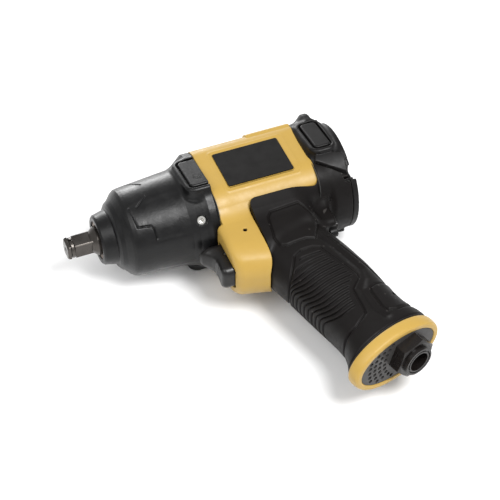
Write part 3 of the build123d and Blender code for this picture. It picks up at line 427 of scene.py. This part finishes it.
VALLEY = [
    (131.0, -57.0), (134.0, -66.0), (141.0, -87.0), (139.6, -94.5), (135.0, -102.0),
    (135.8, -117.0), (139.2, -124.5),
]
LOWER_PAD = [
    (143.8, -100.6), (139.6, -103.0), (139.1, -107.2), (139.9, -117.0), (141.8, -121.7),
    (147.0, -122.2), (158.0, -118.0), (156.0, -98.0),
]
SADDLE = [
    (90, -300), (90, -11.5), (143.8, -11.5), (146.5, -15.0), (153.7, -19.6), (157.6, -22.0),
    (158.8, -25.2), (161.4, -26.3), (162.3, -25.4), (162.3, -300),
]


def relief(x, y, z):
    """How far the rubber's surface lies below its plain form."""
    flank = ramp(np.abs(z), 4, 9)
    upper = polygon(x, y, UPPER_PANEL)
    panel = polygon(x, y, RIB_PANEL)
    drop = groove(np.abs(upper), 0.55, 0.75) * flank
    drop = drop - 0.3 * (1 - ramp(upper, -1.6, -0.4)) * flank
    drop = drop + groove(np.abs(panel), 0.6, 0.85)
    # Ribs: grooves on a fan of planes, cut down between the ridges.
    lean = 0.19 * np.clip((-y - 66) / 12, 0.1, 1)
    rise = 7.0 * (1 - ramp(np.abs(z), 3, 14.5)) * ramp(-y, 72, 84)
    index = (lean * (x - 128) + rise - y - 68.7) / 3.3
    nearest = np.abs(index - np.clip(np.round(index), 0, 13)) * 3.3
    zone = 1 - ramp(polygon(x, y, RIB_ZONE), -0.4, 0.5)
    drop = drop + groove(nearest, 0.5, 1.0) * zone
    # Strip down the back, the winding valley beside it and the pad below.
    drop = drop + groove(polyline(x, y, BACK_LINE), 0.5, 0.75) * ramp(np.abs(z), 3, 6)
    drop = drop + groove(polyline(x, y, VALLEY), 2.3, 1.3) * ramp(np.abs(z), 4, 9)
    pad = polygon(x, y, LOWER_PAD)
    drop = drop + groove(np.abs(pad), 0.6, 0.75) * flank - 0.5 * (1 - ramp(pad, -2.0, 0.0)) * flank
    drop = drop + 2.2 * (1 - ramp(np.hypot(x - 151.5, y + 108.5), 1.0, 1.5)) * ramp(z, 2, 6)
    hook = polyline(x, y, [(119.0, -124.6), (113.0, -127.0), (108.0, -132.5), (104.0, -143.0)])
    drop = drop + groove(hook, 0.5, 0.6)
    neck = np.abs(handle_axes(x, y)[0] - 165.6)
    return drop + groove(neck, 0.5, 0.6)


def rubber_form(x, y, z):
    h, p = handle_axes(x, y)
    width = np.interp(y, [-75, -50, -30], [16.2, 18.4, 20.5])
    flank = both(np.abs(z) - width, p - 119.0, 8.0)
    flank = both(flank, h - 84.0, 9.0)
    hand = blend(grip(x, y, z), flank, 1.5)
    lower = blend(barrel(x, y, z), np.hypot(y, z) - 31.7 + 4.0 * ramp(-x, -153, -143.5), 1.0)
    lower = both(lower, x - 162.3, 0.6)
    # A hood over the reverse lever.
    guard = both(box(y + 36.0, z, 8.7, 10.0, 3.5), np.maximum(122 - x, x - 146.5), 2.0)
    return either(either(lower, hand, 12.0), guard, 5.0)


def grip_rubber(x, y, z):
    h, p = handle_axes(x, y)
    drop = relief(x, y, z)
    zone = yellow_zone(x, y, z)
    rear = both(rubber_form(x, y, z) + drop, h - RUBBER_END_H, 0.5)
    rear = both(both(rear, polygon(x, y, SADDLE), 0.3), 0.12 - zone, 0.35)
    front = both(grip(x, y, z) + drop, h - RUBBER_END_H, 0.5)
    front = both(front, 0.3 - np.maximum(yellow_form(x, y, z), zone), 0.35)
    form = np.where(x < SEAM_X, front, rear)
    # Ahead of the seam there is rubber only on the handle.
    form = np.where((x < SEAM_X) & (y > -46), 5.0, form)
    # Hollow over the core of the handle and the barrel.
    core = np.maximum(grip(x, y, z) + 2.85, span(x, 70, 170))
    tube = np.maximum(barrel(x, y, z) + 1.2, span(x, 60, 143.2))
    cover = np.maximum(np.hypot(y, z) - 30.3, 143.2 - x)
    inside = np.minimum(np.minimum(core, tube), cover)
    # Room for the reverse lever and its valve.
    lever = box(y + 41.5, z, 9.4, 6.4, 2.5)
    lever = both(lever, 141.4 - x, 0.6)
    valve = np.hypot(y + LEVER_Y, z) - 4.8
    valve = np.maximum(valve, span(x, 120, 160))
    form = cut(form, inside, 0.2)
    return cut(cut(form, lever, 1.0), valve, 0.3)


# ------------------------------------------------------------------ hammer case
CASE_PROFILE = [
    (18.7, 10.9), (18.7, 13.3), (19.5, 14.1), (24.9, 15.3), (26.4, 15.6), (26.9, 17.2),
    (28.0, 18.8), (30.2, 20.4), (33.2, 23.7), (34.6, 24.7), (36.8, 25.2), (52.0, 26.45),
    (67.0, 27.7), (71.0, 28.7), (75.0, 30.6), (78.0, 31.6), (CASE_END, 31.6), (CASE_END, 0.0),
    (18.7, 0.0),
]


def with_pad(body, x, y, z, start, end, face, centre, half, floor):
    """Flat pad on each flank, standing in a moat inside a raised rim."""
    lean = math.radians(9)
    out = y * math.sin(lean) + np.abs(z) * math.cos(lean)
    along = y * math.cos(lean) - np.abs(z) * math.sin(lean)
    rim = box(x - (start + end) / 2, along - centre, (end - start) / 2, half, 2.4)
    raised = both(both(rim - 3.4, out - face + 0.5, 1.8), face - 7 - out, 0.1)
    body = blend(body, raised, 3.5)
    body = cut(body, both(rim - 1.1, floor - out, 0.4), 0.4)
    return np.minimum(body, both(both(rim, out - face, 0.9), face - 7 - out, 0.1))


def hammer_shell(x, y, z):
    r = np.hypot(y, z)
    body = polygon(x, r, CASE_PROFILE) - 0.35
    flange = both(barrel(x, y, z, -0.15 - 0.9 * np.maximum(77.5 - x, 0)), span(x, 66, CASE_END), 0.6)
    body = blend(body, flange, 3.0)
    body = with_pad(body, x, y, z, 71.8, 83.4, 31.0, -3.6, 12.4, 29.0)
    angle = np.degrees(np.arctan2(-y, np.abs(z)))
    # A shallow step bounds the rougher field of the casting on each flank.
    edge = np.where(angle < 42, 36.6 + 0.02 * angle, np.where(angle < 46, 38.0 + 2.0 * (angle - 42), 46.3))
    field = ramp(x - edge, -0.2, 0.2) * (1 - ramp(x, 60, 72)) * ramp(angle, 6, 16) * (1 - ramp(angle, 60, 68))
    body = body + 0.42 * field
    step = [(36.4, 15.0), (37.7, 42.0), (44.9, 44.0), (46.3, 49.0), (47.0, 61.0)]
    for line in ([(40.9, 16.0), (47.6, 4.0)], [(39.8, -44.0), (48.4, -19.0)], step):
        arc = [(a, b * 0.45) for a, b in line]
        body = body + groove(polyline(x, angle * 0.45, arc), 0.45, 0.5)
    body = both(body, x - CASE_END, 0.4)
    screw = math.radians(53)
    out = -y * math.sin(screw) + np.abs(z) * math.cos(screw)
    off = np.hypot(x - 73.0, y * math.cos(screw) + z * math.sin(screw))
    seat = np.maximum(off - 2.45, 21 - out)
    seat = np.where(z > 0, seat, 9.0)
    mouth = np.maximum(off - 3.0, 28.9 - out)
    seat = np.minimum(seat, np.where(z > 0, mouth, 9.0))
    cavity = np.maximum(r - 22.3, span(x, 39.7, 90))
    nose = r - 11.0
    body = cut(body, seat, 0.35)
    threads = np.maximum(from_upper_bolts(y, z) - 2.05, 75.8 - x)
    lower_threads = np.maximum(from_lower_bolts(y, z) - 2.05, 75.8 - x)
    body = cut(cut(body, threads, 0.1), lower_threads, 0.1)
    return cut(cut(body, cavity, 0.2), nose, 0.5)


# ------------------------------------------------------------------ rear cover
WEDGE = [(147.2, -9.6), (144.9, -14.5), (152.1, -19.0), (161.0, -23.6), (162.5, -14.5), (157.4, -12.2)]


def rear_shell(x, y, z):
    r = np.hypot(y, z)
    low = ramp(-y, 24.4, 25.4)
    drum = r - 29.7 - 2.0 * low
    body = both(drum, np.maximum(COVER_START - x, x - 165.0 - 1.3 * low), 1.2)
    shoulder = both(barrel(x, y, z, 0.1), span(x, COVER_START, 158.6), 1.2)
    shoulder = both(shoulder, -8 - y, 2.0)
    body = blend(body, shoulder, 1.2)
    ear = from_upper_bolts(y, z) - 8.7 + 0.8 * np.maximum(153.2 - x, 0)
    ear = both(ear, span(x, 145.6, 157.2), 1.8)
    body = blend(body, ear, 2.0)
    band = both(both(r - 30.8, span(x, 158.9, 164.6), 0.7), -15.4 - y, 0.8)
    body = np.minimum(body, band)
    body = body + groove(np.abs(x - 162.2), 0.35, 0.5) * ramp(-y, 10, 16)
    body = with_pad(body, x, y, z, 147.6, 157.2, 32.6, -1.25, 12.3, 30.2)
    wedge = both(both(polygon(x, y, WEDGE), r - 33.7, 0.5), 17 - np.abs(z), 0.1)
    body = np.minimum(body, wedge)
    # The rubber lies over the lower front of the cover.
    saddle = np.maximum(np.maximum(polygon(x, y, SADDLE) - 0.15, 30.0 - r), 100 - x)
    body = np.minimum(cut(body, saddle, 0.15), np.maximum(wedge, 31.9 - r))
    heads = np.maximum(from_upper_bolts(y, z) - 4.0, EAR_END - x)
    low_heads = np.maximum(from_lower_bolts(y, z) - 3.7, EAR_END - x)
    ways = np.maximum(from_upper_bolts(y, z) - BOLT_WAY_RADIUS, 140.0 - x)
    low_ways = np.maximum(from_lower_bolts(y, z) - BOLT_WAY_RADIUS, 140.0 - x)
    bore = np.maximum(r - 25.0, x - 150.0)
    well = np.maximum(r - 19.0, x - 161.5)
    dish = np.maximum(r - 23.5, 163.9 - x)
    for hole in (heads, low_heads, ways, low_ways, bore, well):
        body = cut(body, hole, 0.25)
    return cut(body, dish, 0.8)


# ------------------------------------------------------------------ trigger and base ring
def trigger_form(x, y, z):
    front = np.interp(y, [-57.5, -56.0, -53.5, -50.0, -47.0, -44.0, -41.6, -39.0, -37.0, -35.0, -33.0, -32.0],
                      [74.4, 73.2, 72.8, 73.2, 73.4, 72.8, 71.6, 69.6, 67.8, 67.0, 67.6, 69.5])
    bulge = 4.5 * np.clip(np.abs(z) / 7.5, 0, 1) ** 2.6 * ramp(y, -48, -36)
    face = (front + bulge - x) * 0.9
    body = box(y + TRIGGER_Y, z, 12.0, 7.5, 4.4)
    body = both(body, face, 2.6)
    body = both(body, x - 84.9, 0.6)
    rod = np.maximum(np.hypot(y + ROD_Y, z) - 2.03, 74 - x)
    cross = np.hypot(x - 79.0, y + ROD_Y) - 0.82
    return cut(cut(body, rod, 0.1), cross, 0.15)


def ring_form(x, y, z):
    h, p = handle_axes(x, y)
    u = (p - 94.0)
    bulge = 0.75 * (1 - ((h - 170.2) / 4.4) ** 2)
    def oval(half_length, half_width):
        size = np.hypot(u / half_length, z / half_width) + 1e-6
        return np.hypot(u, z) * (1 - 1 / size)
    outer = oval(28.6, 18.0) - bulge
    ring = both(outer, span(h, 167.0, 174.6), 1.3)
    well = np.maximum(oval(25.3, 14.7), 168.4 - h)
    through = oval(23.2, 12.6)
    return cut(cut(ring, well, 0.6), through, 0.2)


# ------------------------------------------------------------------ materials
def shader(name, colour, rough, grain, depth, metallic=0.0, patches=0.12, specular=0.5, fleck=0.0, edge=None):
    """Principled surface: patchy tone and gloss, a fine grain in its bump, and a painted highlight: paler
    colour on convex edges, standing for edges that catch light.
    """
    material = bpy.data.materials.new(name)
    material.use_nodes = True
    nodes, links = material.node_tree.nodes, material.node_tree.links
    surface = nodes["Principled BSDF"]
    place = nodes.new("ShaderNodeTexCoord")

    def noise(scale, detail, roughness=0.5):
        node = nodes.new("ShaderNodeTexNoise")
        node.inputs["Scale"].default_value = scale
        node.inputs["Detail"].default_value = detail
        node.inputs["Roughness"].default_value = roughness
        links.new(place.outputs["Object"], node.inputs["Vector"])
        return node

    tone = noise(55.0, 5.0, 0.6)
    shade = nodes.new("ShaderNodeValToRGB")
    shade.color_ramp.elements[0].position = 0.32
    shade.color_ramp.elements[1].position = 0.72
    shade.color_ramp.elements[0].color = [c * (1 - patches) for c in colour] + [1]
    shade.color_ramp.elements[1].color = [min(1, c * (1 + patches)) for c in colour] + [1]
    links.new(tone.outputs["Fac"], shade.inputs["Fac"])
    links.new(shade.outputs["Color"], surface.inputs["Base Color"])
    # Painted highlight: convex edges (high pointiness) get the paler edge colour, standing for edges that
    # catch light.
    if edge:
        shape = nodes.new("ShaderNodeNewGeometry")
        edge_highlight = nodes.new("ShaderNodeMapRange")
        edge_highlight.inputs["From Min"].default_value = 0.53
        edge_highlight.inputs["From Max"].default_value = 0.62
        mix = nodes.new("ShaderNodeMix")
        mix.data_type = "RGBA"
        mix.inputs[7].default_value = [*edge, 1]
        links.new(shape.outputs["Pointiness"], edge_highlight.inputs["Value"])
        links.new(edge_highlight.outputs["Result"], mix.inputs[0])
        links.new(shade.outputs["Color"], mix.inputs[6])
        links.new(mix.outputs[2], surface.inputs["Base Color"])

    gloss = noise(140.0, 4.0, 0.65)
    spread = nodes.new("ShaderNodeMapRange")
    spread.inputs["To Min"].default_value = max(0.05, rough - 0.09)
    spread.inputs["To Max"].default_value = min(1.0, rough + 0.09)
    spread.inputs["From Min"].default_value = 0.3
    spread.inputs["From Max"].default_value = 0.7
    links.new(gloss.outputs["Fac"], spread.inputs["Value"])
    links.new(spread.outputs["Result"], surface.inputs["Roughness"])

    fine = noise(grain, 3.0, 0.55)
    bump = nodes.new("ShaderNodeBump")
    bump.inputs["Strength"].default_value = 1.0
    bump.inputs["Distance"].default_value = depth * MM
    links.new(fine.outputs["Fac"], bump.inputs["Height"])
    if fleck:
        coarse = noise(grain * 0.35, 2.0, 0.5)
        second = nodes.new("ShaderNodeBump")
        second.inputs["Strength"].default_value = 1.0
        second.inputs["Distance"].default_value = fleck * MM
        links.new(coarse.outputs["Fac"], second.inputs["Height"])
        links.new(bump.outputs["Normal"], second.inputs["Normal"])
        bump = second
    links.new(bump.outputs["Normal"], surface.inputs["Normal"])
    surface.inputs["Metallic"].default_value = metallic
    surface.inputs["Specular IOR Level"].default_value = specular
    return material


# The edge colours below are painted highlights on convex edges, standing for edges that catch light.
case_paint = shader("case_paint", (0.0028, 0.0028, 0.0030), 0.36, 1300, 0.05, specular=0.27, fleck=0.07,
                    edge=(0.035, 0.035, 0.035))
yellow_plastic = shader("yellow_plastic", (0.365, 0.232, 0.048), 0.42, 2600, 0.006, patches=0.03,
                        specular=0.35)
rubber = shader("grip_rubber", (0.0042, 0.0034, 0.0032), 0.50, 2200, 0.02, patches=0.15, specular=0.13,
                edge=(0.035, 0.032, 0.030))
cover_plastic = shader("cover_plastic", (0.0040, 0.0036, 0.0036), 0.42, 2000, 0.02, specular=0.20,
                       edge=(0.035, 0.033, 0.032))
trigger_plastic = shader("trigger_plastic", (0.0060, 0.0053, 0.0051), 0.34, 2400, 0.008, specular=0.32)
plate_film = shader("plate_film", (0.0055, 0.0050, 0.0048), 0.40, 3000, 0.006, specular=0.22)
drive_steel = shader("drive_steel", (0.062, 0.056, 0.051), 0.30, 900, 0.02, metallic=0.85, patches=0.4)
black_oxide = shader("black_oxide", (0.008, 0.0065, 0.006), 0.30, 1600, 0.012, metallic=0.15,
                     patches=0.25, specular=0.3)
bright_steel = shader("bright_steel", (0.62, 0.61, 0.58), 0.26, 1200, 0.006, metallic=1.0)
ground_steel = shader("ground_steel", (0.42, 0.42, 0.43), 0.34, 1500, 0.008, metallic=1.0)
bronze = shader("bronze", (0.13, 0.095, 0.07), 0.42, 1500, 0.01, metallic=0.9)
fibre = shader("fibre", (0.022, 0.022, 0.020), 0.8, 1800, 0.03)
nitrile = shader("nitrile", (0.012, 0.012, 0.012), 0.5, 2500, 0.006)
resin = shader("vane_resin", (0.045, 0.030, 0.022), 0.5, 1800, 0.01)
felt = shader("felt", (0.10, 0.10, 0.10), 0.95, 1400, 0.12)

FINISH = {
    "case_black": case_paint, "housing_yellow": yellow_plastic, "overmold": rubber,
    "cover_black": cover_plastic, "trigger_black": trigger_plastic, "plate": plate_film,
    "drive_steel": drive_steel, "rubber": nitrile, "bronze": bronze,
    "gasket_paper": fibre, "bright_steel": bright_steel, "black_steel": black_oxide,
    "machined_steel": ground_steel, "vane_resin": resin, "brass": bronze,
    "felt": felt,
}
for part in frame["record"]["subparts"]:
    node = frame["nodes"].get(part["node"])
    if node is not None:
        node.data.materials.clear()
        # The pin's end sits deep in its hole: black oxide on it is painted shade for the dark of the hole.
        painted_shade_pin = part["node"] == "bushing_pin"
        node.data.materials.append(black_oxide if painted_shade_pin else FINISH[part["material_slot"]])

# ------------------------------------------------------------------ pieces
# Each row: name, field, its box's two corners, the node replaced, material slot, body and grid.
PIECES = [
    ("case_shell", hammer_shell, (17.5, -34.5, -34.5), (83.5, 34.5, 34.5),
     "hammer_case", "case_black", "housing", GRID),
    ("yellow_shell", yellow_housing, (70, -137, -30), (152, 30.5, 30),
     "motor_housing", "housing_yellow", "housing", GRID),
    ("rubber_skin", grip_rubber, (69, -150, -30), (163.5, -9, 30),
     "grip_overmold", "overmold", "housing", FINE_GRID),
    ("rear_shell", rear_shell, (142.5, -33.5, -37), (166, 37, 37),
     "rear_cover", "cover_black", "housing", GRID),
    ("trigger_shell", trigger_form, (65, -62.5, -9), (86, -31.5, 9),
     "trigger", "trigger_black", "trigger", FINE_GRID),
    ("base_band", ring_form, (104, -151, -21), (174, -122, 21),
     "base_ring", "housing_yellow", "housing", GRID),
]
for name, field, low, high, node, slot, body, grid in PIECES:
    piece = skin(name, field, low, high, grid)
    piece.data.materials.append(FINISH[slot])
    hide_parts(node)
    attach(piece, body)

# ------------------------------------------------------------------ camera, floor and light
target = Vector((0.0957, -0.0388, 0.0))
back = Vector((-0.25545, -0.64192, 0.72297)).normalized()
right = Vector((0.92913, -0.36975, 0.0)).normalized()
up = back.cross(right)
camera_data = bpy.data.cameras.new("camera")
camera_data.lens = 128.6
camera_data.sensor_width = 36
camera = bpy.data.objects.new("camera", camera_data)
pose = Matrix((right, up, back)).transposed().to_4x4()
pose.translation = target + back
camera.matrix_world = pose
bpy.context.collection.objects.link(camera)
bpy.context.scene.camera = camera

floor_mesh = bpy.data.meshes.new("floor")
floor_mesh.from_pydata([(-3, -3, 0), (3, -3, 0), (3, 3, 0), (-3, 3, 0)], [], [(0, 1, 2, 3)])
floor = bpy.data.objects.new("floor", floor_mesh)
floor.location = (0.1, 0, cad_low[2])
bpy.context.collection.objects.link(floor)
floor_paper = shader("floor_paper", (0.86, 0.86, 0.86), 0.9, 400, 0.01, patches=0.01, specular=0.1)
floor_mesh.materials.append(floor_paper)
floor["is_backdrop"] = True

bpy.context.scene.view_settings.view_transform = "Standard"
world = bpy.data.worlds.new("studio")
bpy.context.scene.world = world
world.use_nodes = True
world.node_tree.nodes["Background"].inputs["Color"].default_value = (1, 1, 1, 1)
world.node_tree.nodes["Background"].inputs["Strength"].default_value = 0.62


def softbox(name, place, size, power, aim=(0.09, -0.04, 0)):
    light = bpy.data.lights.new(name, "AREA")
    light.energy = power
    light.shape = "DISK"
    light.size = size
    lamp = bpy.data.objects.new(name, light)
    lamp.location = place
    lamp.rotation_euler = (Vector(aim) - Vector(place)).to_track_quat("-Z", "Y").to_euler()
    bpy.context.collection.objects.link(lamp)


softbox("key", (0.30, -0.58, 0.95), 0.45, 14)
softbox("fill", (-0.55, -0.35, 0.95), 0.7, 6)
softbox("rim", (0.15, 1.1, 0.22), 0.5, 7)

low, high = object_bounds()
